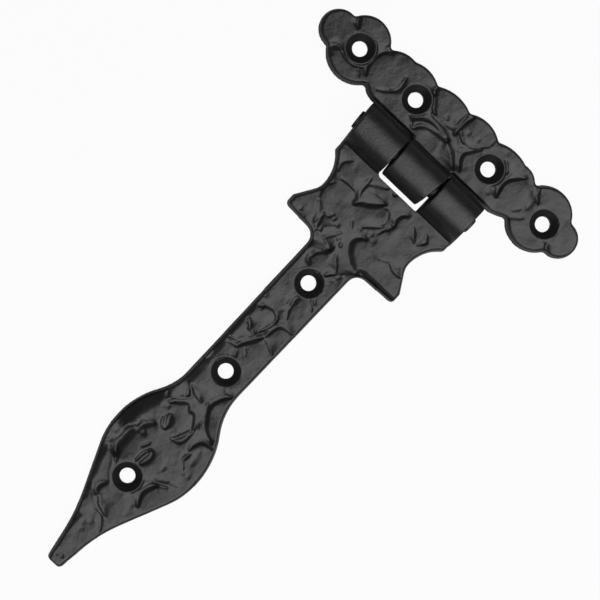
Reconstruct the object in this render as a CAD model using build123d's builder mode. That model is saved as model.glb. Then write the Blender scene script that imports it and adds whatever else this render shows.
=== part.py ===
from build123d import *
import math
import os

# Cast tee hinge with a hammered face: a cross plate, a spear-ended strap and the pin that joins them.
#
# Millimetres. The back of both leaves lies on z = 0 and the hammered face looks along +Z. The origin is on the
# back of the cross plate, on the line of its outer screw holes; the strap runs along -Y and the pin along X.

os.makedirs("parts", exist_ok=True)

# Castings
leaf_thickness = 4.5
draft_angle = 10.0
rim_chamfer = 0.7
notch_round = 1.1

# Barrel and pin
knuckle_radius = 7.4
knuckle_wall_draft = 12.0
knuckle_chamfer = 0.3
knuckle_root_overlap = 2.2
barrel_length = 49.6
barrel_head_slant = -5.0
barrel_tail_draft = 5.0
axis_y = -17.7
middle_knuckle_start = -8.0
middle_knuckle_end = 8.15
middle_knuckle_flares = (2.0, 7.0)
slot_start_clearance = 0.65
slot_end_clearance = 1.2
slot_reach = 8.5
slot_start_corner = 1.6
slot_end_corner = 0.6
pin_radius = 2.7
pin_clearance = 0.05
pin_head_radius = 3.25
pin_head_height = 0.9
pin_tail_length = 0.5
pin_chamfer = 0.25

# Countersunk screw holes
screw_hole_radius = 2.6
countersink_radius = 4.9
countersink_angle = 90
outer_hole_shift = 1.15
outer_hole_spacing = 83.4
inner_hole_spacing = 33.0
inner_hole_shift = 0.7
inner_hole_rise = 0.6
strap_hole_shift = -0.2
strap_hole_start = -67.2
strap_hole_steps = (39.55, 46.9)

# Cross plate: notch points round the back outline, each with the crest of the lobe that follows it
plate_edge_y = -9.5
plate_shoulder_x = 27.0
plate_shoulder_round = 1.6
scallops = (
    ((-48.9, 6.8), (-56.7, 0.3)),
    ((-49.3, -6.75), (-42.9, -11.5)),
    ((-31.2, -7.2), (-29.6, -8.6)),
    ((-plate_shoulder_x, plate_edge_y), None),
    ((plate_shoulder_x, plate_edge_y), (30.2, -8.3)),
    ((32.4, -7.2), (40.6, -11.3)),
    ((49.4, -6.45), (56.8, 0.0)),
    ((49.7, 7.0), (42.6, 12.2)),
    ((32.4, 7.5), (29.5, 9.95)),
    ((25.3, 10.4), (21.2, 11.3)),
    ((13.7, 9.7), (9.1, 11.75)),
    ((0.4, 10.0), (-5.8, 11.4)),
    ((-13.5, 9.2), (-18.4, 10.9)),
    ((-24.2, 9.9), (-29.2, 9.35)),
    ((-33.0, 6.9), (-41.5, 11.8)),
)

# Strap: edges and half widths of the back outline, where they lie along the strap, and how its parts sit sideways
head_edges = {1: 25.25, -1: -24.05}
head_centre = 0.35
head_corner_y = -29.3
head_corner_round = 1.6
waist_half_width = 19.45
waist_y = -40.0
cheek_half_width = 20.3
cheek_y = -43.0
horn_half_width = 24.2
horn_base_y = -53.4
horn_root_y = -54.2
horn_tip_round = 1.6
horn_root_round = 3.8
shaft_half_width = 9.45
shaft_end_half_width = 9.0
shaft_centre = -0.25
flare_starts = {1: -110.0, -1: -115.0}
flare_share = 0.43
leaf_half_width = 17.5
leaf_centre = 1.0
leaf_y = -141.0
shoulder_half_width = 15.2
shoulder_y = -152.0
taper_y = -167.2
point_half_width = 4.3
point_centre = 1.3
point_y = -182.0
tip_end_y = -191.2
tip_round = 1.6

# Hammer prints: x, y, length, width, turn of the length, depth at the middle, dip and heading of the deep side
print_corners = 7
print_skew = 0.25
print_rise = 2.0
print_wall_angle = 45
plate_prints = (
    (-52.0, 0.3, 10.0, 11.0, 0, 0.35, 2, 180),
    (-41.2, 9.2, 10.5, 6.0, 0, 0.35, 2, 90),
    (-46.9, 6.6, 4.2, 1.9, 124, 0.80, 4, 124),
    (-40.7, -9.0, 10.5, 6.4, 0, 0.55, 3, 90),
    (-28.9, -0.4, 11.6, 12.2, 0, 0.70, 3, 180),
    (-32.4, 6.5, 5.5, 3.4, 60, 0.75, 5, 100),
    (-26.3, 7.2, 5.5, 4.6, 20, 0.45, 3, 200),
    (-18.8, 8.6, 9.5, 5.0, 0, 0.30, 2, 90),
    (-21.9, 0.3, 6.0, 1.9, 90, 0.60, 0, 0),
    (-12.5, 6.9, 4.5, 1.9, 115, 0.75, 4, 100),
    (-10.2, 3.6, 4.0, 1.5, 125, 0.50, 0, 0),
    (-5.6, 6.2, 10.0, 8.6, 0, 0.60, 2.5, 200),
    (7.2, 6.3, 10.8, 9.6, 30, 0.55, 2, 190),
    (-6.0, -2.0, 9.0, 2.7, 15, 0.50, 2, 80),
    (3.6, -2.4, 7.0, 2.4, -20, 0.45, 2, 90),
    (6.6, -5.4, 6.5, 1.4, -42, 0.45, 0, 0),
    (-8.6, -5.6, 4.6, 1.4, 55, 0.45, 0, 0),
    (10.4, 0.6, 5.5, 2.2, 60, 0.55, 2, 180),
    (9.8, -4.2, 6.6, 2.4, 110, 0.65, 2, 180),
    (17.5, -6.9, 10.0, 2.6, 0, 0.30, 0, 0),
    (22.9, -4.6, 2.6, 1.0, 80, 0.40, 0, 0),
    (22.2, 4.8, 4.2, 1.2, -45, 0.50, 0, 0),
    (30.5, -0.2, 11.6, 11.8, 0, 0.70, 3, 175),
    (31.5, 6.6, 5.6, 3.2, 0, 0.70, 5, 90),
    (35.5, 5.6, 5.6, 2.0, -52, 0.80, 3, 140),
    (41.8, 9.6, 10.5, 6.0, 0, 0.35, 2, 90),
    (52.2, 0.0, 9.8, 11.0, 0, 0.35, 2, 0),
    (41.2, -8.7, 10.5, 6.0, 0, 0.50, 2, 270),
    (47.9, 5.0, 5.0, 3.4, 60, 0.55, 4, 40),
    (49.2, -4.9, 4.6, 2.2, -50, 0.70, 4, 310),
    (35.8, -5.2, 4.6, 1.4, 45, 0.45, 0, 0),
)
strap_prints = (
    (-0.6, -37.0, 14.5, 7.2, 42, 0.70, 5, 132),
    (-12.2, -39.9, 9.8, 9.6, 90, 0.55, 2, 180),
    (-13.2, -31.2, 9.6, 6.2, 0, 0.50, 2.5, 180),
    (-3.4, -29.2, 7.0, 3.4, 15, 0.35, 1, 90),
    (13.6, -37.5, 14.5, 10.4, 95, 0.65, 3, 180),
    (17.0, -31.0, 4.4, 3.4, 60, 0.90, 0, 0),
    (12.6, -49.2, 20.5, 7.6, 0, 0.75, 3, 180),
    (-18.5, -49.0, 10.5, 7.2, 30, 0.50, 3, 200),
    (-12.0, -50.0, 6.0, 1.2, 105, 0.40, 0, 0),
    (-7.4, -50.6, 7.5, 5.4, 60, 0.40, 3, 225),
    (-3.0, -45.6, 6.0, 4.0, 20, 0.35, 0, 0),
    (-6.7, -56.4, 5.0, 3.2, 45, 0.60, 4, 135),
    (-0.3, -58.8, 8.2, 6.6, 20, 0.60, 2, 225),
    (6.6, -66.0, 8.0, 3.6, 90, 0.40, 2, 0),
    (-7.6, -66.0, 8.0, 2.8, 90, 0.40, 3, 180),
    (4.9, -76.6, 11.0, 6.4, 95, 0.55, 3, 180),
    (-5.6, -76.5, 11.5, 6.2, 90, 0.45, 2, 180),
    (-3.0, -86.0, 8.2, 7.6, 60, 0.60, 2, 90),
    (5.3, -86.8, 6.8, 5.4, 90, 0.60, 3, 180),
    (-4.9, -94.2, 6.6, 5.6, 60, 0.60, 2, 45),
    (3.4, -96.6, 11.0, 8.0, 100, 0.70, 3, 140),
    (-6.0, -102.6, 8.0, 4.4, 95, 0.50, 4, 180),
    (6.8, -105.0, 10.0, 3.0, 90, 0.30, 2, 0),
    (-0.3, -115.6, 8.2, 8.4, 0, 0.60, 3, 270),
    (8.3, -118.6, 13.5, 5.2, 112, 0.70, 4, 205),
    (-6.3, -121.9, 5.6, 4.8, 60, 0.55, 2, 0),
    (-0.2, -129.4, 10.6, 10.0, 90, 0.70, 2, 90),
    (-1.7, -131.6, 4.4, 1.9, -65, 1.30, 0, 0),
    (-4.0, -136.4, 6.0, 4.0, 60, 0.50, 3, 200),
    (13.3, -134.8, 11.5, 7.0, 95, 0.60, 4, 170),
    (8.0, -141.7, 13.0, 9.0, 20, 0.40, 1, 0),
    (1.3, -145.0, 5.8, 2.2, 85, 1.00, 0, 0),
    (-0.9, -146.2, 4.5, 1.0, 85, 0.80, 0, 0),
    (12.2, -153.8, 10.5, 7.0, 75, 0.80, 3, 180),
    (2.6, -164.0, 10.4, 8.0, 15, 0.60, 3, 225),
    (1.4, -176.5, 12.0, 7.4, 90, 0.40, 1, 90),
    (-13.2, -132.6, 14.0, 6.5, 75, 0.90, 14, 170),
    (-7.4, -145.6, 10.5, 4.8, 95, 0.95, 5, 0),
    (-12.4, -146.2, 9.0, 4.2, 100, 0.50, 9, 180),
    (-8.8, -157.0, 8.5, 4.4, 110, 0.45, 6, 200),
    (-8.4, -163.6, 6.5, 3.4, 115, 0.65, 12, 200),
    (-3.0, -171.0, 6.0, 4.0, 60, 0.40, 4, 225),
)

axis_z = knuckle_radius
bore_radius = pin_radius + pin_clearance
strap_hole_ys = (
    strap_hole_start,
    strap_hole_start - strap_hole_steps[0],
    strap_hole_start - sum(strap_hole_steps),
)
slot_start = middle_knuckle_start - slot_start_clearance
slot_end = middle_knuckle_end + slot_end_clearance
slot_lean = slot_reach * math.tan(math.radians(middle_knuckle_flares[0]))
pin_axis = Plane((0, axis_y, axis_z), x_dir=(0, 1, 0), z_dir=(1, 0, 0))


def strike(prints):
    """Cut flat, crooked-sided hammer prints with sloping walls into the front face of the open part."""
    for x, y, length, width, turn, depth, dip, heading in prints:
        place = Location((x, y, leaf_thickness - depth), (0, 0, heading))
        tilt = Location((0, 0, 0), (0, dip, 0)) * Location((0, 0, 0), (0, 0, turn - heading))
        angles = [math.tau * k / print_corners + print_skew * math.sin(k * k + x) for k in range(print_corners)]
        with BuildSketch(Plane(place * tilt)) as floor:
            Polygon(*[(length / 2 * math.cos(a), width / 2 * math.sin(a)) for a in angles], align=None)
        extrude(floor.sketch, amount=print_rise, taper=-print_wall_angle, mode=Mode.SUBTRACT)


def end_plane(x, way, flare_y, flare_z=0):
    """The plane of a knuckle's end, looking outwards; it leans out along +Y and in along +Z by the angles given."""
    outward = (way, -math.tan(math.radians(flare_y)), math.tan(math.radians(flare_z)))
    return Plane((x, axis_y, axis_z), z_dir=outward)


def knuckle(start, end, side, web_length):
    """One knuckle between two end planes; its web runs from the pin axis in the Y direction of side."""
    lean = math.radians(knuckle_wall_draft)
    tangent = (side * knuckle_radius * math.cos(lean), knuckle_radius * math.sin(lean))
    foot_y = tangent[0] + side * (tangent[1] + axis_z) * math.tan(lean)
    web_y = side * web_length
    web_top = leaf_thickness - axis_z
    with BuildPart() as blank:
        with BuildSketch(pin_axis):
            Circle(knuckle_radius)
            Polygon((0, 0), tangent, (foot_y, -axis_z), (0, -axis_z), align=None)
            Polygon((0, -axis_z), (web_y, -axis_z), (web_y, web_top), (0, web_top), align=None)
        extrude(amount=barrel_length, both=True)
        split(bisect_by=start, keep=Keep.BOTTOM)
        split(bisect_by=end, keep=Keep.BOTTOM)
        ends = blank.faces().sort_by(Axis.X)
        chamfer([e for f in (ends[0], ends[-1]) for e in f.edges() if e.geom_type != GeomType.LINE], knuckle_chamfer)
    return blank.part


def run_to(line, axis, value):
    """The point reached from the end of a line, straight on, where one coordinate takes a value."""
    end = line @ 1
    heading = line % 1
    index = {"X": 0, "Y": 1}[axis]
    return end + heading * ((value - tuple(end)[index]) / tuple(heading)[index])


def draw_strap_side(side):
    """Draw one long edge of the strap's back outline, from the barrel to the tip."""
    head_x = head_edges[side]
    waist = (head_centre + side * waist_half_width, waist_y)
    cheek = (head_centre + side * cheek_half_width, cheek_y)
    horn_x = head_centre + side * horn_half_width
    flare = Vector(shaft_centre + side * shaft_end_half_width, flare_starts[side])
    belly = Vector(leaf_centre + side * leaf_half_width, leaf_y)
    shoulder = (leaf_centre + side * shoulder_half_width, shoulder_y)
    point = (point_centre + side * point_half_width, point_y)
    Line((head_x, axis_y), (head_x, head_corner_y))
    TangentArc(waist, (head_x, head_corner_y), tangent=(0, 1))
    cheek_arc = TangentArc(waist, cheek, tangent=(0, -1))
    horn = run_to(cheek_arc, "X", horn_x)
    root = (shaft_centre + side * shaft_half_width, horn_root_y)
    shaft_edge = Line(root, flare)
    Polyline(cheek, horn, (horn_x, horn_base_y), root)
    flare_arc = TangentArc(flare, flare + (belly - flare) * flare_share, tangent=shaft_edge % 1)
    TangentArc(flare_arc @ 1, belly, tangent=flare_arc % 1)
    shoulder_arc = TangentArc(belly, shoulder, tangent=(0, -1))
    taper_line = Line(shoulder_arc @ 1, run_to(shoulder_arc, "Y", taper_y))
    point_arc = TangentArc(taper_line @ 1, point, tangent=taper_line % 1)
    Polyline(point_arc @ 1, run_to(point_arc, "Y", tip_end_y), (point_centre, tip_end_y))


corner_rounds = (
    (head_corner_y, head_corner_round),
    (horn_base_y, horn_tip_round),
    (horn_root_y, horn_root_round),
    (tip_end_y, tip_round),
)
plate_web = plate_edge_y + knuckle_root_overlap - axis_y
middle_knuckle = knuckle(
    end_plane(middle_knuckle_start, -1, middle_knuckle_flares[0]),
    end_plane(middle_knuckle_end, 1, middle_knuckle_flares[1]),
    1,
    plate_web,
)
pin_seat = end_plane(-barrel_length / 2, -1, -barrel_head_slant)
outer_knuckles = [
    knuckle(pin_seat, end_plane(slot_start, 1, -middle_knuckle_flares[0]), -1, knuckle_radius),
    knuckle(end_plane(slot_end, -1, 0), end_plane(barrel_length / 2, 1, 0, barrel_tail_draft), -1, knuckle_radius),
]

with BuildPart() as cross_plate:
    with BuildSketch() as plate_outline:
        with BuildLine():
            for (notch, crest), (next_notch, _) in zip(scallops, scallops[1:] + scallops[:1]):
                if crest is None:
                    Line(notch, next_notch)
                else:
                    ThreePointArc(notch, crest, next_notch)
        make_face()
        fillet([v for v in plate_outline.vertices() if not math.isclose(v.Y, plate_edge_y)], notch_round)
        fillet([v for v in plate_outline.vertices() if math.isclose(v.Y, plate_edge_y)], plate_shoulder_round)
    extrude(amount=leaf_thickness, taper=draft_angle)
    chamfer(cross_plate.faces().sort_by(Axis.Z)[-1].outer_wire().edges(), rim_chamfer)
    strike(plate_prints)
    add(middle_knuckle)
    with BuildSketch(pin_axis):
        Circle(bore_radius)
    extrude(amount=barrel_length, both=True, mode=Mode.SUBTRACT)
    with Locations((outer_hole_shift, 0, leaf_thickness)):
        with GridLocations(outer_hole_spacing, 0, 2, 1):
            CounterSinkHole(screw_hole_radius, countersink_radius, counter_sink_angle=countersink_angle)
    with Locations((inner_hole_shift, inner_hole_rise, leaf_thickness)):
        with GridLocations(inner_hole_spacing, 0, 2, 1):
            CounterSinkHole(screw_hole_radius, countersink_radius, counter_sink_angle=countersink_angle)

with BuildPart() as strap_leaf:
    with BuildSketch() as strap_outline:
        with BuildLine():
            Line((head_edges[1], axis_y), (head_edges[-1], axis_y))
            for side in (1, -1):
                draw_strap_side(side)
        make_face()
        for height, radius in corner_rounds:
            fillet([v for v in strap_outline.vertices() if math.isclose(v.Y, height)], radius)
    extrude(amount=leaf_thickness, taper=draft_angle)
    rim = strap_leaf.faces().sort_by(Axis.Z)[-1].outer_wire().edges().sort_by(Axis.Y)
    chamfer(rim[:-1], rim_chamfer)
    strike(strap_prints)
    add(outer_knuckles)
    with BuildSketch(Plane((0, axis_y, 0))) as slot_sketch:
        Polygon(
            (slot_start + slot_lean, -slot_reach),
            (slot_end, -slot_reach),
            (slot_end, slot_reach),
            (slot_start - slot_lean, slot_reach),
            align=None,
        )
        inner_corners = slot_sketch.vertices().sort_by(Axis.Y)[:2].sort_by(Axis.X)
        fillet(inner_corners[0], slot_start_corner)
        fillet(slot_sketch.vertices().sort_by(Axis.X)[-2:].sort_by(Axis.Y)[0], slot_end_corner)
    extrude(amount=2 * knuckle_radius, mode=Mode.SUBTRACT)
    with BuildSketch(pin_axis):
        Circle(bore_radius)
    extrude(amount=barrel_length, both=True, mode=Mode.SUBTRACT)
    with Locations(*[(strap_hole_shift, y, leaf_thickness) for y in strap_hole_ys]):
        CounterSinkHole(screw_hole_radius, countersink_radius, counter_sink_angle=countersink_angle)

with BuildPart() as hinge_pin:
    with BuildSketch(pin_axis.offset(barrel_length / 2 + pin_tail_length)):
        Circle(pin_radius)
    extrude(amount=-barrel_length - pin_tail_length - pin_head_height / 2)
    with BuildSketch(pin_seat):
        Circle(pin_head_radius)
    extrude(amount=pin_head_height)
    ends = hinge_pin.faces().sort_by(Axis.X)
    chamfer([ends[0].edges(), ends[-1].edges()], pin_chamfer)

for piece, name in ((cross_plate, "cross_plate"), (strap_leaf, "strap_leaf"), (hinge_pin, "hinge_pin")):
    piece.part.label = name
    export_step(piece.part, f"parts/{name}.step")
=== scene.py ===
import bpy
import numpy as np
from mathutils import Matrix, Vector
from mathutils.kdtree import KDTree


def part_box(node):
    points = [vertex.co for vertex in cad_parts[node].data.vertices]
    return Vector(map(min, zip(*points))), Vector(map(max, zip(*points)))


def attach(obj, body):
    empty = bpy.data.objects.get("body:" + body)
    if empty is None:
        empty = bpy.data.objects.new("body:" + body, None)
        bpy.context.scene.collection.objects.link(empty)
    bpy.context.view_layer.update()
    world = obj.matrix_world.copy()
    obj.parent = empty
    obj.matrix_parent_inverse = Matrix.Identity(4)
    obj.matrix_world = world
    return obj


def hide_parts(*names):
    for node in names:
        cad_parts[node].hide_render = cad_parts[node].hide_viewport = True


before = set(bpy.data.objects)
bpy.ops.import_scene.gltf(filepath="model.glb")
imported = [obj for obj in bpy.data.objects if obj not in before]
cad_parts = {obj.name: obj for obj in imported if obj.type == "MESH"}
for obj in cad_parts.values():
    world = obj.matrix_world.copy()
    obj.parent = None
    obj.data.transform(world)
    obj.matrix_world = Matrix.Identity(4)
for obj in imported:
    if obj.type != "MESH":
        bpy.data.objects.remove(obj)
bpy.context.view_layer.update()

# Both castings are remeshed copies of their solids, worked in millimetres.
MM = 1000  # millimetres in a metre
FRONT = 4.5  # level of the hammered face
DEEPEST = 1.2  # lowest level that its relief may reach
FACE_LOW, FACE_UP = 2.0, 0.2  # the face's points lie above this level, and their normals rise more than this
WALL_LOW, WALL_HIGH = 1.5, 2.5  # band of the side walls from which the rim is measured
WALL_UP = 0.5  # the walls' normals rise or fall less than this
BACK_UP = -0.9  # the flat back's normals fall further than this
WALL_START = {"cross_plate": -0.5, "strap_leaf": 1.2}  # walls nearer to the barrel than this are no rim
RIM, RIM_INSET = 0.9, 0.3  # round of the face's rim, and how far it lies inside the drafted walls
SINK = 4.8  # radius round a hole's middle from which the face begins
LIP, LIP_WIDTH = 5.2, 0.7  # radius of the plain lip there, and the width over which the relief begins
HOLES = {
    "cross_plate": ((-40.55, 0), (42.85, 0), (-15.8, 0.6), (17.2, 0.6)),
    "strap_leaf": ((-0.2, -67.2), (-0.2, -106.75), (-0.2, -153.65)),
}
AXIS_Y, AXIS_Z = -17.7, 7.4  # the barrel's axis
BORE = 2.86  # radius round it that is kept clear for the pin
BARREL_HALF = 26  # a little over half the barrel's length
PLATE_EDGE, STRAP_EDGE = -9.3, -26.0  # y at which the hammered faces end beside the barrel
LOBE_FALL = 3  # how steeply the edge of the cross plate's face falls away past the barrel's ends
UP_WIDTH, BARREL_WIDTH, SINK_WIDTH = 0.3, 0.6, 0.2  # how softly the face begins at walls, barrel and holes
WAVES = ((0.14, 3.8, 1), (0.045, 1.5, 2))  # height, grain size and seed of the face's unevenness
GRAIN = ((0.014, 0.8, 3), (0.03, 2.6, 4))  # the same for the casting's skin
SCATTER = (73856093, 19349663, 83492791, 2654435761)  # large odd numbers that make the noise's values
STIR_BY, STIR_ADD = 1103515245, 12345  # they stir the scattered values once more
MASK = 0xFFFFFF  # scattered values run from 0 to this

# A stroke on a hammered face is (kind, depth, width, points). A scarp is a step that levels out again and a
# bevel one that stays down: both are low on the left of the way they run. Grooves are drawn at their dark
# flank and ridges at their bright one, so their middle is shifted from there towards the shaded side.
MARK = 0.80  # height of a groove or ridge for a depth of 1
SPREAD = 1.35  # how much wider than written the strokes are cut
PROLONG = 0.45  # how much longer they are at either end, in widths
FLANK = 0.42  # from the middle of a groove or ridge to its flank, in widths
SHADED = np.array((-0.95, 0.30))  # the way to the shaded side, away from the lamp
REACH = {"scarp": 12, "bevel": 12, "groove": 4, "ridge": 4}  # how far from its points a stroke is worked out

PLATE = (
    # Left trefoil
    ("scarp", 0.80, 1.3, ((-45.3, 3.7), (-45.6, 4.8), (-46.6, 6.3), (-47.7, 7.7))),
    ("ridge", 0.18, 0.6, ((-48.4, 6.2), (-46.8, 4.8), (-46.0, 3.2))),
    ("groove", 0.30, 0.6, ((-49.2, -6.3), (-47.6, -5.2), (-46.2, -4.0))),
    ("scarp", 0.65, 1.2, ((-48.2, -7.0), (-46.3, -5.4), (-44.6, -4.6))),
    ("scarp", 0.50, 0.9, ((-45.2, -4.9), (-43.0, -5.9), (-40.5, -6.1), (-38.0, -5.7), (-35.4, -4.1))),
    ("groove", 0.30, 0.6, ((-36.2, -5.5), (-34.2, -7.3))),
    ("groove", 0.40, 1.6, ((-47.3, -7.4), (-45.6, -9.2))),
    # Pads between the left holes
    ("scarp", 0.80, 1.1, ((-32.9, -5.2), (-34.3, -3.0), (-34.8, -0.5), (-34.5, 2.2), (-33.3, 4.8),
                          (-31.0, 6.8))),
    ("groove", 0.50, 1.8, ((-33.2, 6.3), (-31.0, 5.8))),
    ("groove", 0.18, 2.2, ((-30.0, 8.2), (-28.0, 7.0), (-26.0, 7.3))),
    ("groove", 0.62, 1.1, ((-22.6, 3.2), (-21.9, 1.0), (-21.7, -1.0), (-22.3, -2.5), (-23.6, -3.7))),
    ("groove", 0.32, 0.9, ((-23.0, -3.2), (-25.3, -5.1), (-27.2, -6.4))),
    # Pads and arch above the barrel
    ("scarp", 0.85, 1.4, ((-12.1, 5.7), (-12.8, 7.0), (-13.0, 8.9))),
    ("groove", 0.60, 1.0, ((-12.4, 6.2), (-11.2, 4.8), (-10.2, 3.4), (-9.0, 2.0), (-7.4, 1.1))),
    ("ridge", 0.38, 0.9, ((-8.6, 0.6), (-5.6, 0.2), (-2.4, 0.2), (0.2, 0.8))),
    ("groove", 0.20, 1.0, ((-4.5, 3.6), (-3.3, 2.5))),
    ("ridge", 0.48, 0.8, ((0.4, 0.7), (0.4, 4.0), (0.3, 8.4))),
    ("groove", 0.80, 1.5, ((-12.8, -5.0), (-11.0, -3.3), (-9.0, -1.8), (-6.5, -1.1), (-3.5, -1.1),
                           (-0.5, -1.5), (1.8, -2.2))),
    ("scarp", 0.85, 1.3, ((9.0, -7.7), (7.4, -6.2), (5.8, -4.7), (4.0, -3.3), (2.0, -2.3), (0.0, -1.7))),
    ("ridge", 0.30, 0.8, ((-11.6, -6.2), (-9.8, -4.3), (-7.6, -2.9), (-5.0, -2.2), (-3.0, -2.2))),
    ("groove", 0.60, 1.1, ((-9.7, -7.4), (-8.6, -5.1), (-6.8, -3.6), (-4.0, -2.9), (-1.0, -2.7),
                           (1.6, -2.8))),
    ("groove", 0.42, 0.7, ((-12.7, -4.8), (-11.4, -6.2), (-10.4, -7.3))),
    ("scarp", 0.80, 1.3, ((1.3, 0.5), (1.4, 4.0), (1.7, 7.0), (2.3, 9.6))),
    ("groove", 0.40, 0.8, ((2.4, 3.0), (3.8, 1.5), (5.8, 0.7))),
    ("ridge", 0.38, 1.0, ((2.2, 1.6), (4.5, 0.3), (7.0, 0.0), (9.5, 1.0), (11.5, 3.0), (13.4, 5.4))),
    ("groove", 0.20, 0.6, ((7.5, 0.9), (9.4, 2.2), (11.3, 4.2))),
    ("groove", 0.25, 1.0, ((4.9, 4.6), (4.7, 3.5))),
    ("groove", 0.18, 0.9, ((8.4, 5.3), (8.6, 4.0))),
    ("ridge", 0.32, 0.8, ((13.4, 8.9), (13.7, 7.4), (13.4, 6.0))),
    ("scarp", 0.75, 1.1, ((10.8, -6.7), (9.4, -5.0), (8.2, -3.2), (7.8, -1.6), (8.8, 0.0), (10.3, 1.8),
                          (11.5, 3.3))),
    ("ridge", 0.16, 0.8, ((5.0, -2.6), (6.8, -4.0), (8.4, -5.6), (10.0, -7.4))),
    ("groove", 0.22, 1.0, ((6.3, -1.2), (6.6, -2.2))),
    # Pads between the right holes, and the right trefoil
    ("groove", 0.25, 2.4, ((14.4, 8.4), (17.2, 7.6), (19.8, 8.5))),
    ("groove", 0.48, 0.9, ((19.7, 6.4), (21.4, 4.9), (23.0, 3.1))),
    ("scarp", 0.85, 1.2, ((25.4, -4.6), (24.5, -1.6), (24.2, 0.7), (24.7, 2.4), (26.4, 4.6), (28.5, 6.9))),
    ("ridge", 0.18, 0.7, ((24.0, 4.6), (23.4, 3.0), (23.1, 0.8), (23.2, -1.4))),
    ("groove", 0.42, 1.7, ((33.4, 5.8), (35.0, 3.4), (35.8, 1.0), (35.9, -0.8))),
    ("groove", 0.25, 0.8, ((34.2, -1.8), (33.0, -3.5), (32.2, -4.4))),
    ("groove", 0.42, 1.2, ((37.0, -3.6), (34.5, -5.5), (32.8, -7.0))),
    ("groove", 0.40, 1.8, ((28.4, 6.7), (31.0, 6.0), (33.8, 7.1))),
    ("scarp", 0.75, 1.0, ((37.0, 3.4), (35.2, 5.4), (33.8, 7.6))),
    ("ridge", 0.25, 0.6, ((33.6, 6.8), (35.2, 4.6), (36.6, 2.6))),
    ("groove", 0.25, 2.0, ((48.3, 6.4), (48.3, 3.5), (47.8, 1.3))),
    ("ridge", 0.25, 0.6, ((47.0, -4.2), (49.1, -6.4))),
    ("scarp", 0.80, 1.4, ((51.2, -6.1), (49.6, -5.2), (48.1, -3.5))),
    ("groove", 0.32, 1.4, ((22.9, -3.4), (23.0, -6.0))),
)
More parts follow.
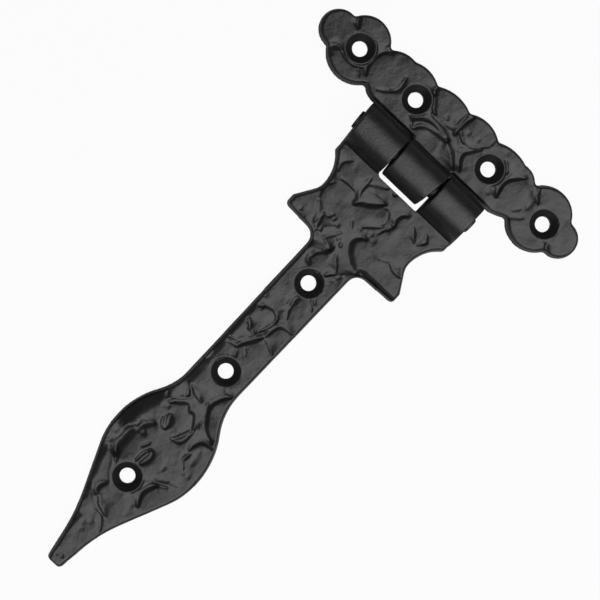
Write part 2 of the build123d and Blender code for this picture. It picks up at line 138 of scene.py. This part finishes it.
STRAP = (
    # Head
    ("scarp", 0.42, 0.8, ((-18.2, -34.3), (-18.7, -33.2), (-19.0, -31.2), (-18.3, -30.0), (-17.0, -28.4))),
    ("groove", 0.30, 0.8, ((-18.2, -35.4), (-18.3, -37.2))),
    ("scarp", 0.55, 0.8, ((-6.9, -36.2), (-7.9, -34.0), (-8.2, -32.0), (-8.1, -30.0), (-8.9, -28.0))),
    ("groove", 0.40, 0.7, ((-15.7, -35.2), (-13.5, -34.7), (-11.5, -34.7), (-9.8, -35.0))),
    ("scarp", 0.45, 0.8, ((-16.9, -44.4), (-17.7, -42.6), (-18.0, -41.0), (-17.4, -39.0), (-16.4, -37.4))),
    ("ridge", 0.12, 1.0, ((-16.6, -36.8), (-14.0, -35.8), (-10.0, -35.6), (-7.4, -37.0))),
    ("groove", 0.40, 1.0, ((-7.5, -30.5), (-5.8, -29.0), (-4.0, -28.0), (-2.1, -27.1))),
    ("groove", 0.50, 0.9, ((0.6, -27.4), (1.2, -26.2))),
    ("groove", 0.26, 0.5, ((-7.0, -32.3), (-4.0, -31.8), (-1.3, -31.1))),
    ("scarp", 1.10, 1.7, ((-7.5, -38.6), (-5.2, -36.6), (-3.0, -35.3), (-1.2, -33.8), (0.0, -32.2),
                          (0.8, -31.2))),
    ("scarp", 0.48, 0.7, ((-0.6, -42.4), (2.0, -40.4), (4.0, -38.6), (5.4, -36.9))),
    ("groove", 0.42, 0.8, ((5.0, -37.4), (5.7, -36.0), (5.6, -34.6), (5.0, -33.3), (4.0, -32.2),
                           (2.8, -31.7), (1.4, -32.4))),
    ("scarp", 0.80, 1.2, ((7.6, -35.0), (7.2, -33.4), (6.8, -31.8), (7.5, -30.0), (9.0, -28.8))),
    ("groove", 0.60, 1.1, ((6.6, -37.4), (7.3, -36.0), (7.7, -34.6))),
    ("scarp", 0.45, 0.7, ((5.2, -40.4), (6.0, -38.0), (7.3, -36.0))),
    ("scarp", 0.50, 0.8, ((16.0, -34.2), (15.2, -32.8), (13.8, -31.2), (12.0, -30.0))),
    ("scarp", 0.50, 0.8, ((17.0, -34.2), (18.6, -32.4), (19.2, -31.0), (18.0, -29.8), (16.8, -28.6))),
    ("scarp", 1.05, 1.7, ((10.4, -54.4), (8.4, -53.6), (6.0, -52.7), (3.8, -51.2), (2.2, -49.6),
                          (1.2, -48.0), (1.3, -46.5), (2.4, -45.0), (4.0, -43.9))),
    ("groove", 0.35, 1.4, ((4.2, -43.9), (5.6, -43.3), (7.2, -42.7))),
    ("groove", 0.25, 0.8, ((7.3, -45.4), (9.5, -46.0), (11.5, -45.7), (14.2, -44.6))),
    ("scarp", 0.50, 0.8, ((13.8, -44.1), (15.5, -45.0), (17.2, -45.9), (19.0, -45.8), (20.8, -45.4))),
    ("bevel", 1.60, 1.7, ((24.6, -52.2), (20.0, -52.3), (15.0, -52.2), (10.5, -52.2), (8.8, -53.0))),
    ("groove", 0.42, 1.1, ((-16.2, -45.1), (-14.3, -46.8), (-13.0, -48.8), (-12.2, -51.6))),
    ("scarp", 0.60, 0.9, ((-10.4, -53.8), (-10.9, -51.0), (-11.5, -49.0), (-12.4, -46.8))),
    ("groove", 0.25, 0.8, ((-18.5, -50.8), (-18.7, -52.3))),
    ("groove", 0.25, 0.7, ((-18.2, -52.7), (-15.8, -52.6))),
    ("groove", 0.42, 0.9, ((-10.1, -46.8), (-9.2, -45.3))),
    ("groove", 0.30, 0.8, ((-8.3, -46.9), (-8.1, -45.9))),
    ("groove", 0.38, 0.9, ((-6.3, -46.6), (-5.8, -47.8))),
    ("groove", 0.40, 0.8, ((-12.2, -47.3), (-9.8, -46.9))),
    ("groove", 0.25, 0.6, ((-4.0, -45.4), (-2.4, -45.6))),
    ("groove", 0.32, 0.6, ((-3.8, -42.7), (-3.2, -43.6), (-1.9, -44.9))),
    ("groove", 0.30, 0.7, ((0.0, -42.9), (0.6, -43.9))),
    ("ridge", 0.25, 0.8, ((1.2, -42.2), (1.6, -42.6))),
    ("groove", 0.40, 0.9, ((4.4, -41.5), (4.0, -42.4))),
    ("groove", 0.45, 0.8, ((-1.1, -50.3), (-0.5, -51.7))),
    ("groove", 0.30, 0.7, ((-2.5, -49.3), (-3.1, -50.7))),
    ("groove", 0.50, 0.9, ((-10.0, -52.7), (-8.9, -51.7))),
    ("groove", 0.40, 1.0, ((-9.5, -54.6), (-9.0, -54.0))),
    ("groove", 0.35, 0.9, ((-3.2, -47.8), (-4.6, -50.0), (-5.8, -51.8), (-6.7, -53.7))),
    ("ridge", 0.20, 0.8, ((-5.8, -47.6), (-8.0, -50.0), (-8.9, -51.0))),
    # Shaft
    ("scarp", 1.20, 2.4, ((-9.4, -58.0), (-7.2, -56.2), (-4.6, -55.0), (-2.6, -54.6))),
    ("scarp", 0.75, 1.2, ((-5.4, -60.5), (-5.3, -59.0), (-4.3, -57.4), (-2.8, -56.0), (-2.1, -54.4),
                          (-2.3, -52.7))),
    ("ridge", 0.22, 1.0, ((-3.6, -56.5), (-5.6, -58.0), (-8.0, -60.2))),
    ("scarp", 0.70, 1.0, ((-4.0, -62.5), (-5.3, -61.4), (-6.5, -60.1))),
    ("scarp", 0.50, 0.8, ((4.0, -58.6), (3.0, -57.0), (1.5, -55.4), (-0.2, -53.8))),
    ("scarp", 0.60, 0.9, ((1.6, -62.7), (3.4, -60.6), (4.8, -58.8))),
    ("ridge", 0.32, 0.7, ((6.9, -57.3), (5.0, -59.6), (3.5, -61.4), (1.4, -63.4))),
    ("groove", 0.50, 1.0, ((6.3, -58.6), (5.4, -60.2))),
    ("scarp", 0.40, 1.2, ((3.8, -62.2), (5.5, -61.5), (8.0, -62.4))),
    ("ridge", 0.28, 0.7, ((3.2, -70.2), (5.0, -71.2), (7.5, -72.9))),
    ("groove", 0.35, 0.7, ((4.2, -69.6), (6.5, -71.2))),
    ("groove", 0.35, 0.7, ((3.4, -70.9), (5.5, -72.0), (7.2, -73.5))),
    ("scarp", 0.65, 1.4, ((0.9, -76.6), (1.1, -74.5), (0.9, -71.8))),
    ("scarp", 0.45, 0.8, ((2.7, -80.6), (1.5, -78.4), (0.9, -75.8))),
    ("groove", 0.20, 0.9, ((-1.4, -72.6), (-1.3, -75.0), (-0.7, -77.2))),
    ("groove", 0.20, 0.8, ((0.3, -78.4), (-0.7, -80.5))),
    ("groove", 0.25, 1.0, ((-7.5, -78.8), (-7.3, -80.5))),
    ("scarp", 0.60, 1.0, ((-7.0, -83.9), (-5.4, -82.7), (-4.0, -82.0), (-2.6, -81.7), (-1.0, -82.3),
                          (0.5, -83.4))),
    ("groove", 0.45, 1.6, ((-6.7, -83.6), (-5.2, -83.2))),
    ("groove", 0.42, 0.8, ((0.4, -83.3), (1.1, -84.7), (0.9, -86.2), (0.2, -88.0), (-0.9, -89.9))),
    ("ridge", 0.38, 0.7, ((1.8, -83.7), (1.2, -86.0), (0.6, -88.4), (-0.4, -90.6), (-1.6, -92.6),
                          (-3.2, -95.6), (-4.6, -97.6), (-6.6, -98.1))),
    ("ridge", 0.28, 0.7, ((1.7, -83.8), (3.5, -83.0), (7.6, -82.7))),
    ("scarp", 0.70, 1.0, ((1.5, -90.0), (1.9, -88.2), (2.1, -86.4), (2.5, -84.9), (3.5, -83.9),
                          (5.4, -83.4), (7.6, -83.3))),
    ("bevel", 0.80, 2.0, ((-8.3, -99.5), (-8.1, -92.0), (-8.0, -86.0), (-8.4, -82.0))),
    ("scarp", 0.60, 0.9, ((-7.9, -90.2), (-6.2, -90.4), (-5.2, -91.4), (-4.2, -92.0), (-2.8, -91.6),
                          (-1.4, -92.1))),
    ("groove", 0.50, 0.9, ((-6.5, -88.9), (-5.2, -89.7), (-4.3, -90.3), (-3.7, -91.5))),
    ("ridge", 0.30, 0.6, ((-7.6, -89.7), (-6.2, -89.9), (-5.2, -90.7), (-4.5, -91.3))),
    ("groove", 0.42, 0.7, ((-1.6, -92.2), (-2.6, -94.2), (-3.7, -96.0), (-4.9, -97.3), (-7.0, -97.5))),
    ("scarp", 0.90, 1.3, ((-3.1, -98.9), (-2.8, -97.6), (-1.8, -96.0), (-0.7, -94.2), (0.4, -92.2),
                          (1.4, -90.2))),
    ("scarp", 0.55, 0.8, ((1.4, -90.6), (3.4, -91.0), (5.0, -91.9), (7.4, -92.8))),
    ("ridge", 0.16, 0.5, ((2.9, -90.3), (5.0, -90.9), (7.2, -91.6))),
    ("groove", 0.20, 0.5, ((-0.9, -96.5), (1.3, -98.7))),
    ("scarp", 0.50, 0.9, ((-0.9, -101.8), (-1.4, -100.2), (-2.4, -98.5))),
    ("scarp", 0.40, 0.7, ((-7.3, -99.5), (-5.6, -99.0), (-3.2, -98.5))),
    ("bevel", 0.60, 2.4, ((-7.0, -117.5), (-7.0, -110.0), (-7.2, -104.0), (-7.8, -99.5))),
    ("ridge", 0.55, 0.8, ((-8.0, -104.6), (-8.0, -108.2))),
    ("ridge", 0.26, 0.8, ((2.9, -110.1), (4.7, -111.9), (6.5, -111.3), (7.8, -110.7))),
    # Spear
    ("scarp", 0.55, 0.9, ((-5.5, -117.6), (-3.5, -118.7), (-1.5, -119.4), (1.1, -120.0))),
    ("ridge", 0.32, 0.8, ((-6.2, -117.2), (-4.5, -118.4), (-3.0, -119.8), (-2.2, -120.6), (-3.4, -121.9),
                          (-5.0, -123.4), (-7.0, -125.2))),
    ("ridge", 0.16, 1.0, ((-2.2, -120.6), (0.0, -120.6), (2.6, -118.9))),
    ("groove", 0.45, 0.9, ((-4.8, -119.0), (-3.8, -120.4), (-3.5, -121.6))),
    ("scarp", 0.85, 1.2, ((12.9, -126.8), (10.0, -126.0), (8.2, -124.8), (7.0, -123.4), (6.0, -122.0),
                          (4.8, -120.4), (4.2, -118.8), (4.3, -117.0), (5.0, -115.0), (6.0, -113.2),
                          (7.6, -111.6))),
    ("ridge", 0.22, 0.8, ((5.0, -112.0), (4.2, -114.6), (3.3, -117.0))),
    ("groove", 0.35, 0.6, ((2.7, -118.0), (3.7, -119.6))),
    ("scarp", 0.75, 1.1, ((-7.0, -127.0), (-5.2, -125.4), (-3.8, -124.4), (-2.8, -123.3), (-1.7, -122.9),
                          (-0.8, -123.5), (0.0, -124.6), (0.6, -124.2), (1.8, -124.0), (3.0, -125.3),
                          (4.2, -127.0), (5.0, -128.4))),
    ("groove", 0.40, 1.2, ((-7.2, -129.1), (-5.3, -127.7))),
    ("groove", 0.60, 0.9, ((-9.1, -124.4), (-7.9, -126.0))),
    ("scarp", 0.65, 0.9, ((1.2, -135.2), (3.8, -134.9), (5.0, -134.2), (5.8, -132.5), (5.9, -130.5),
                          (5.8, -128.2))),
    ("groove", 0.50, 0.8, ((4.9, -129.0), (4.6, -131.0), (3.9, -132.8), (2.7, -134.3))),
    ("groove", 1.00, 1.5, ((-3.0, -129.5), (-2.0, -131.4), (-1.1, -133.4))),
    ("groove", 0.60, 0.8, ((-4.4, -131.3), (-3.8, -133.0), (-2.6, -134.0), (-1.2, -133.8))),
    ("scarp", 0.90, 1.7, ((-7.5, -140.7), (-7.6, -138.8), (-6.6, -136.8), (-5.0, -134.7))),
    ("groove", 0.50, 1.4, ((-5.5, -139.3), (-5.7, -140.3))),
    ("ridge", 0.35, 1.2, ((-8.7, -138.2), (-8.7, -139.0))),
    ("ridge", 0.25, 0.8, ((-7.2, -135.6), (-9.8, -137.2))),
    ("bevel", 1.90, 4.6, ((-13.6, -142.0), (-13.0, -137.0), (-12.4, -133.0), (-11.6, -129.0),
                          (-10.6, -123.0))),
    ("scarp", 1.30, 2.8, ((-7.2, -150.8), (-8.7, -148.0), (-8.6, -144.0), (-8.9, -140.2))),
    ("ridge", 0.40, 1.4, ((-11.2, -141.0), (-10.8, -144.5), (-10.8, -147.0), (-12.3, -149.3))),
    ("groove", 0.45, 1.8, ((-13.6, -142.6), (-13.0, -146.2))),
    ("groove", 0.60, 0.8, ((-1.4, -148.0), (-1.3, -145.4), (-0.9, -143.4), (0.0, -142.4))),
    ("groove", 1.00, 1.4, ((-0.2, -142.3), (1.2, -142.8), (1.8, -144.2), (1.4, -146.0), (0.9, -148.0))),
    ("groove", 0.50, 0.8, ((-1.9, -140.5), (-2.6, -142.0), (-3.4, -143.5))),
    ("groove", 0.25, 0.9, ((7.0, -142.8), (7.1, -144.7))),
    ("scarp", 0.75, 1.1, ((8.8, -134.0), (9.0, -131.6), (9.7, -130.0), (11.0, -128.9), (12.6, -128.6),
                          (14.4, -128.4))),
    ("ridge", 0.32, 0.9, ((6.2, -125.5), (8.2, -126.6), (10.5, -127.4), (13.9, -127.6))),
    ("scarp", 0.60, 0.9, ((9.5, -137.4), (10.0, -136.0), (10.1, -134.2))),
    ("groove", 0.30, 0.6, ((9.5, -137.3), (11.0, -139.0), (13.2, -141.2))),
    ("groove", 0.25, 1.4, ((12.2, -131.6), (12.8, -135.0), (13.2, -137.2))),
    ("groove", 0.30, 1.8, ((13.8, -140.8), (15.4, -140.4))),
    ("ridge", 0.32, 0.8, ((7.6, -149.6), (10.0, -147.8), (12.5, -146.6), (15.0, -145.5))),
    ("groove", 0.42, 0.7, ((8.2, -150.2), (9.6, -149.0), (12.4, -147.5))),
    ("groove", 0.25, 0.9, ((6.4, -148.2), (9.0, -147.0), (11.2, -145.9))),
    ("scarp", 0.95, 1.5, ((9.2, -158.6), (8.0, -156.0), (7.4, -154.4), (7.6, -153.0), (8.4, -151.0),
                          (9.5, -149.1))),
    ("ridge", 0.20, 0.8, ((7.2, -150.2), (6.2, -152.6), (6.2, -155.0), (7.4, -157.4), (9.2, -159.8))),
    ("groove", 0.20, 1.0, ((7.5, -159.6), (8.6, -162.0), (8.3, -163.4))),
    ("scarp", 0.80, 1.3, ((-3.2, -164.4), (-4.4, -163.0), (-4.4, -161.4), (-3.4, -159.3))),
    ("scarp", 0.50, 0.8, ((-3.6, -164.0), (-1.8, -165.5), (-0.4, -166.8), (1.2, -167.3), (3.8, -168.0))),
    ("ridge", 0.26, 0.8, ((-4.8, -164.4), (-2.6, -166.4), (-0.6, -167.6), (1.4, -168.2), (4.0, -168.6))),
    ("groove", 0.40, 0.9, ((-0.2, -168.9), (2.0, -168.8), (3.4, -169.6), (4.6, -171.0), (6.0, -173.0))),
    ("groove", 0.55, 1.6, ((-6.6, -165.6), (-7.5, -163.6))),
    ("bevel", 0.80, 2.2, ((-5.8, -168.0), (-8.5, -162.0), (-10.5, -156.0), (-12.4, -150.0))),
    ("groove", 0.50, 1.0, ((-9.2, -148.8), (-7.5, -150.6), (-5.8, -152.7))),
    ("ridge", 0.22, 0.7, ((-8.9, -150.3), (-7.0, -152.6), (-6.4, -154.0), (-4.6, -157.0), (-2.4, -159.0))),
    ("bevel", 0.45, 1.3, ((-2.6, -180.0), (-3.0, -176.0), (-2.5, -173.0))),
    ("groove", 0.18, 1.2, ((1.9, -172.0), (1.4, -173.0))),
    ("groove", 0.16, 1.2, ((-0.4, -173.5), (0.2, -174.6))),
    ("groove", 0.18, 1.2, ((1.4, -175.8), (0.6, -176.8))),
    ("groove", 0.35, 0.8, ((0.2, -187.8), (1.4, -187.0), (3.0, -187.1))),
)


# How the strokes are cut

def along(points, xy):
    """Signed distance of each place to a run of points, positive on the left, how far along it lies, and the
    length of the run."""
    steps = np.diff(points, axis=0)
    lengths = np.hypot(*steps.T)
    starts = np.concatenate([[0], np.cumsum(lengths)])
    best = np.full(len(xy), np.inf)
    signed = np.zeros(len(xy))
    run = np.zeros(len(xy))
    for p, d, length, start in zip(points, steps, lengths, starts):
        rel = xy - p
        t = np.clip(rel @ d / length ** 2, 0, 1)
        off = rel - t[:, None] * d
        dist = np.hypot(*off.T)
        side = np.where(d[0] * rel[:, 1] - d[1] * rel[:, 0] >= 0, 1, -1)
        near = dist < best
        best[near] = dist[near]
        signed[near] = (dist * side)[near]
        run[near] = (start + t * length)[near]
    return signed, run, starts[-1]


def smooth(x):
    """A soft step from 0 to 1."""
    x = np.clip(x, 0, 1)
    return x * x * (3 - 2 * x)


def between(run, length, taper):
    """One along a stroke, falling to zero at both of its ends over the taper."""
    return smooth(run / taper) * smooth((length - run) / taper)


def rounded(points):
    """The run of points with its corners cut twice, so that it bends as a hammer mark does."""
    points = np.array(points, float)
    for _ in range(2):
        early = 0.75 * points[:-1] + 0.25 * points[1:]
        late = 0.25 * points[:-1] + 0.75 * points[1:]
        cut = np.stack([early, late], axis=1).reshape(-1, 2)
        points = np.concatenate([points[:1], cut[1:-1], points[-1:]])
    return points


def prolonged(points, by):
    """The run of points made longer at both ends."""
    first = points[0] - points[1]
    last = points[-1] - points[-2]
    points[0] += by * first / np.hypot(*first)
    points[-1] += by * last / np.hypot(*last)
    return points


def lattice(xyz, size, seed):
    """Smooth noise from -1 to 1 with the given grain size."""
    p = xyz / size
    cell = np.floor(p).astype(np.int64)
    f = p - cell
    f = f * f * (3 - 2 * f)
    total = np.zeros(len(p))
    for corner in range(8):
        o = np.array([corner & 1, corner >> 1 & 1, corner >> 2 & 1])
        c = cell + o
        h = (c[:, 0] * SCATTER[0] ^ c[:, 1] * SCATTER[1] ^ c[:, 2] * SCATTER[2] ^ seed * SCATTER[3]) & MASK
        h = (h * STIR_BY + STIR_ADD) & MASK
        weight = np.prod(np.where(o, f, 1 - f), axis=1)
        total += weight * (h / (MASK // 2) - 1)
    return total


def noise(xyz, layers):
    """The sum of layers of lattice noise, each with its height, grain size and seed."""
    return sum(height * lattice(xyz, size, seed) for height, size, seed in layers)


def pointed(run, length, width):
    """The width of a stroke at each place: half as wide at its ends as in its middle."""
    return width * (0.5 + 0.5 * between(run, length, min(3 * width, 0.4 * length)))


def scarp(side, run, length, width):
    """A step down to the left with a soft shoulder, which rises again slowly beyond its foot."""
    wide = pointed(run, length, width)
    fade = min(1.8, 0.35 * length) + 1.2 * np.maximum(side, 0)
    middle = between(run, length, fade)
    step = 0.75 * smooth(side / wide + 0.5)
    shoulder = 0.4 * smooth(side / (3.5 * width) + 0.6) * middle
    slow = 0.5 + min(2.8, 0.25 * length) * middle
    rise = np.exp(-np.maximum(side - wide / 2, 0) / slow)
    return -(step + shoulder) * rise * (0.5 + 0.5 * middle)


def bevel(side, run, length, width):
    """A step down to the left that stays down."""
    return -smooth(side / width + 0.5)


def ridge(side, run, length, width):
    """A soft bead along the points."""
    return np.exp(-(side / (0.6 * pointed(run, length, width))) ** 2) * MARK


def groove(side, run, length, width):
    """A soft hollow along the points."""
    return -ridge(side, run, length, width)


PROFILES = {"scarp": scarp, "bevel": bevel, "groove": groove, "ridge": ridge}


def relief(xy, strokes):
    """Height in millimetres that the strokes add at each place of the hammered face."""
    height = np.zeros(len(xy))
    for kind, depth, width, points in strokes:
        lo = np.min(points, axis=0) - REACH[kind]
        hi = np.max(points, axis=0) + REACH[kind]
        near = np.flatnonzero(np.all((xy > lo) & (xy < hi), axis=1))
        width *= SPREAD
        line = prolonged(rounded(points), PROLONG * width)
        if kind in ("groove", "ridge"):
            line += FLANK * width * SHADED
        side, run, length = along(line, xy[near])
        ends = between(run, length, min(0.8 * width, 0.3 * length))
        height[near] += depth * PROFILES[kind](side, run, length, width) * ends
    return height


# How the castings are made

def from_nearest(xy, walls):
    """Distance of each place to the nearest of the walls' points."""
    tree = KDTree(len(walls))
    for i, (x, y) in enumerate(walls):
        tree.insert((x, y, 0), i)
    tree.balance()
    return np.array([tree.find((x, y, 0))[2] for x, y in xy])


def baked(thing):
    """A new mesh of an object with its modifiers applied."""
    return bpy.data.meshes.new_from_object(thing.evaluated_get(bpy.context.evaluated_depsgraph_get()))


def remeshed(node, voxel):
    """A finely and evenly meshed, slightly softened copy of a node's solid."""
    source = bpy.data.objects.new(node + "_source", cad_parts[node].data.copy())
    bpy.context.scene.collection.objects.link(source)
    weld = source.modifiers.new("weld", "WELD")
    weld.merge_threshold = 1e-6
    remesh = source.modifiers.new("remesh", "REMESH")
    remesh.mode = "VOXEL"
    remesh.voxel_size = voxel
    soften = source.modifiers.new("soften", "SMOOTH")
    soften.factor = 0.5
    soften.iterations = 3
    mesh = baked(source)
    bpy.data.objects.remove(source)
    return mesh


def vectors(data, count):
    """The vectors of a mesh's points or normals as rows of x, y and z."""
    values = np.zeros(count * 3, np.float32)
    data.foreach_get("vector", values)
    return values.reshape(-1, 3).astype(float)


def from_barrel(node, xyz):
    """How far each place lies beyond the edge of the leaf's face at the barrel. Past the barrel's ends the
    cross plate's lobes reach further down."""
    x, y = xyz[:, 0], xyz[:, 1]
    if node == "cross_plate":
        return y - PLATE_EDGE + LOBE_FALL * np.maximum(np.abs(x) - BARREL_HALF, 0)
    return STRAP_EDGE - y


def hammer(node, xyz, normals, strokes):
    """Shapes the points of a casting's face: its rim is rounded, strokes and soft waves are added."""
    level, up = xyz[:, 2], normals[:, 2]
    from_hole = np.min([np.hypot(xyz[:, 0] - x, xyz[:, 1] - y) for x, y in HOLES[node]], axis=0)
    inland = from_barrel(node, xyz)
    wall = (np.abs(up) < WALL_UP) & (level > WALL_LOW) & (level < WALL_HIGH)
    wall &= (from_hole > LIP) & (inland > WALL_START[node])
    at = np.flatnonzero((up > FACE_UP) & (level > FACE_LOW) & (inland > 0) & (from_hole > SINK))
    edge = np.maximum(RIM + RIM_INSET - from_nearest(xyz[at, :2], xyz[wall, :2]), 0)
    drop = RIM - np.sqrt(np.maximum(RIM ** 2 - np.minimum(edge, RIM) ** 2, 0))
    outside_lip = smooth((from_hole[at] - LIP) / LIP_WIDTH)
    target = FRONT - drop + outside_lip * (relief(xyz[at, :2], strokes) + noise(xyz[at], WAVES))
    weight = smooth((up[at] - FACE_UP) / UP_WIDTH)
    weight *= smooth(inland[at] / BARREL_WIDTH)
    weight *= smooth((from_hole[at] - SINK) / SINK_WIDTH)
    xyz[at, 2] += weight * (np.maximum(target, DEEPEST) - xyz[at, 2])


def roughen(xyz, normals):
    """Gives all of a casting but its flat back a fine unevenness, and keeps the bore clear for the pin."""
    off_back = normals[:, 2] > BACK_UP
    xyz += normals * (noise(xyz, GRAIN) * off_back)[:, None]
    radial = xyz[:, 1:] - (AXIS_Y, AXIS_Z)
    radius = np.hypot(*radial.T)
    inside = (radius < BORE) & (np.abs(xyz[:, 0]) < BARREL_HALF)
    xyz[inside, 1:] += radial[inside] * ((BORE / np.maximum(radius, 0.1) - 1)[inside])[:, None]


def casting(node, body, coating, strokes, voxel, faces):
    """The piece that stands for a casting's solid, with its hammered face worked in finer detail."""
    mesh = remeshed(node, voxel)
    xyz = vectors(mesh.attributes["position"].data, len(mesh.vertices)) * MM
    normals = vectors(mesh.vertex_normals, len(mesh.vertices))
    hammer(node, xyz, normals, strokes)
    roughen(xyz, normals)
    lo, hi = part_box(node)
    xyz = np.clip(xyz / MM, np.array(lo), np.array(hi))
    mesh.attributes["position"].data.foreach_set("vector", xyz.astype(np.float32).ravel())
    mesh.update()
    piece = bpy.data.objects.new(node + "_cast", mesh)
    bpy.context.scene.collection.objects.link(piece)
    mesh.calc_loop_triangles()
    thin = piece.modifiers.new("thin", "DECIMATE")
    thin.ratio = min(1.0, faces / len(mesh.loop_triangles))
    mesh = baked(piece)
    piece.modifiers.clear()
    piece.data = mesh
    mesh.materials.clear()
    mesh.materials.append(coating)
    for p in mesh.polygons:
        p.use_smooth = True
        p.material_index = 0
    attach(piece, body)
    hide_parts(node)


# Coats and floor

def add(tree, kind, values=(), **settings):
    """A new shader node with its settings and the values of its sockets."""
    node = tree.nodes.new("ShaderNode" + kind)
    for name, value in settings.items():
        setattr(node, name, value)
    for socket, value in dict(values).items():
        node.inputs[socket].default_value = value
    return node


def coat(name, dark, light, rough_low, rough_high, grain):
    """Satin black coat: colour and gloss vary softly, and a fine orange peel breaks the reflections."""
    material = bpy.data.materials.new(name)
    material.use_nodes = True
    tree = material.node_tree
    shader = tree.nodes["Principled BSDF"]
    shader.inputs["Specular IOR Level"].default_value = 0.45
    place = add(tree, "TexCoord")
    cloud = add(tree, "TexNoise", {"Scale": 220, "Detail": 4})
    colour = add(tree, "Mix", data_type="RGBA")
    colour.inputs["A"].default_value = (*dark, 1)
    colour.inputs["B"].default_value = (*light, 1)
    gloss = add(tree, "MapRange", {"From Min": 0.3, "From Max": 0.7})
    gloss.inputs["To Min"].default_value = rough_low
    gloss.inputs["To Max"].default_value = rough_high
    peel = add(tree, "TexNoise", {"Scale": 1200, "Detail": 3})
    bump = add(tree, "Bump", {"Strength": grain, "Distance": 0.0001})
    link = tree.links.new
    link(place.outputs["Object"], cloud.inputs["Vector"])
    link(place.outputs["Object"], peel.inputs["Vector"])
    link(cloud.outputs["Fac"], colour.inputs["Factor"])
    link(colour.outputs["Result"], shader.inputs["Base Color"])
    link(cloud.outputs["Fac"], gloss.inputs["Value"])
    link(gloss.outputs["Result"], shader.inputs["Roughness"])
    link(peel.outputs["Fac"], bump.inputs["Height"])
    link(bump.outputs["Normal"], shader.inputs["Normal"])
    return material


def paper():
    """Pale matt paper that the camera sees lifted to white, so the narrow slot in the barrel is white too.
    Below the seam of plate and barrel the lift is cut out in a fixed rectangle, a painted shadow patch on the
    floor, so no white shines up through the knuckle gaps."""
    seam_half_length, seam_y, seam_half_width = 0.0235, -0.0105, 0.0022
    material = bpy.data.materials.new("paper")
    material.use_nodes = True
    tree = material.node_tree
    matt = tree.nodes["Principled BSDF"]
    matt.inputs["Base Color"].default_value = (0.4, 0.4, 0.4, 1)
    matt.inputs["Roughness"].default_value = 0.9
    matt.inputs["Specular IOR Level"].default_value = 0.1
    place = add(tree, "NewGeometry")
    axes = add(tree, "SeparateXYZ")
    # Painted shade: inside this rectangle under the seam of plate and barrel the camera's white glow is cut,
    # so the floor shows dark there
    shade_patch_x = add(tree, "Math", {1: 0.0, 2: seam_half_length}, operation="COMPARE")
    shade_patch_y = add(tree, "Math", {1: seam_y, 2: seam_half_width}, operation="COMPARE")
    painted_shade_patch = add(tree, "Math", operation="MULTIPLY")
    lift = add(tree, "MapRange", {"To Min": 0.95, "To Max": 0.0})
    ray = add(tree, "LightPath")
    share = add(tree, "Math", operation="MULTIPLY")
    glow = add(tree, "Emission", {"Strength": 1.0})
    blend = add(tree, "MixShader")
    link = tree.links.new
    link(place.outputs["Position"], axes.inputs["Vector"])
    link(axes.outputs["X"], shade_patch_x.inputs[0])
    link(axes.outputs["Y"], shade_patch_y.inputs[0])
    link(shade_patch_x.outputs["Value"], painted_shade_patch.inputs[0])
    link(shade_patch_y.outputs["Value"], painted_shade_patch.inputs[1])
    link(painted_shade_patch.outputs["Value"], lift.inputs["Value"])
    link(ray.outputs["Is Camera Ray"], share.inputs[0])
    link(lift.outputs["Result"], share.inputs[1])
    link(share.outputs["Value"], blend.inputs["Fac"])
    link(matt.outputs["BSDF"], blend.inputs[1])
    link(glow.outputs["Emission"], blend.inputs[2])
    link(blend.outputs["Shader"], tree.nodes["Material Output"].inputs["Surface"])
    return material


# Camera and light

def photo_camera():
    """A camera at the photograph's place, nearly square above the hinge."""
    place = Matrix.Translation((-0.03485, -0.08128, 0.5439))
    turn = Matrix(((0.7246, 0.6891, 0), (0.6891, -0.7246, 0), (0, 0, -1)))
    tilt = Vector((0.0352, -0.0590, -0.0047))
    right, down, ahead = Matrix.Rotation(tilt.length, 3, tilt) @ turn
    camera = bpy.data.objects.new("camera", bpy.data.cameras.new("camera"))
    camera.data.lens = 99.46
    camera.data.sensor_width = 36
    camera.data.clip_start = 0.01
    camera.matrix_world = place @ Matrix((right, -down, -ahead)).transposed().to_4x4()
    bpy.context.scene.collection.objects.link(camera)
    bpy.context.scene.camera = camera


def studio_light():
    """One wide softbox overhead, from the hinge's middle far to its right, so faces that lean left fall dark,
    and a faint even light from all round."""
    softbox = bpy.data.objects.new("softbox", bpy.data.lights.new("softbox", "AREA"))
    softbox.data.shape = "RECTANGLE"
    softbox.data.size = 0.82
    softbox.data.size_y = 1.76
    softbox.data.energy = 16.0
    softbox.location = (0.40, -0.35, 0.85)
    bpy.context.scene.collection.objects.link(softbox)
    world = bpy.data.worlds.new("studio")
    bpy.context.scene.world = world
    world.use_nodes = True
    sky = world.node_tree.nodes["Background"]
    sky.inputs["Color"].default_value = (1, 1, 1, 1)
    sky.inputs["Strength"].default_value = 0.12


# The hinge, its floor and the view

black, charcoal = (0.003, 0.003, 0.0031), (0.006, 0.006, 0.0062)
iron = coat("coated_iron", black, charcoal, rough_low=0.38, rough_high=0.46, grain=0.8)
steel = coat("coated_steel", black, charcoal, rough_low=0.36, rough_high=0.44, grain=0.3)
casting("cross_plate", "cross_plate", iron, PLATE, voxel=0.00025, faces=150000)
casting("strap_leaf", "strap", iron, STRAP, voxel=0.00028, faces=190000)
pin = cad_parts["hinge_pin"]
pin.data.materials.clear()
pin.data.materials.append(steel)

bpy.ops.mesh.primitive_plane_add(size=6, location=(0, -0.08, -0.0002))
floor = bpy.context.object
floor.name = "floor"
floor.data.materials.append(paper())
photo_camera()
studio_light()
bpy.context.scene.view_settings.view_transform = "Standard"
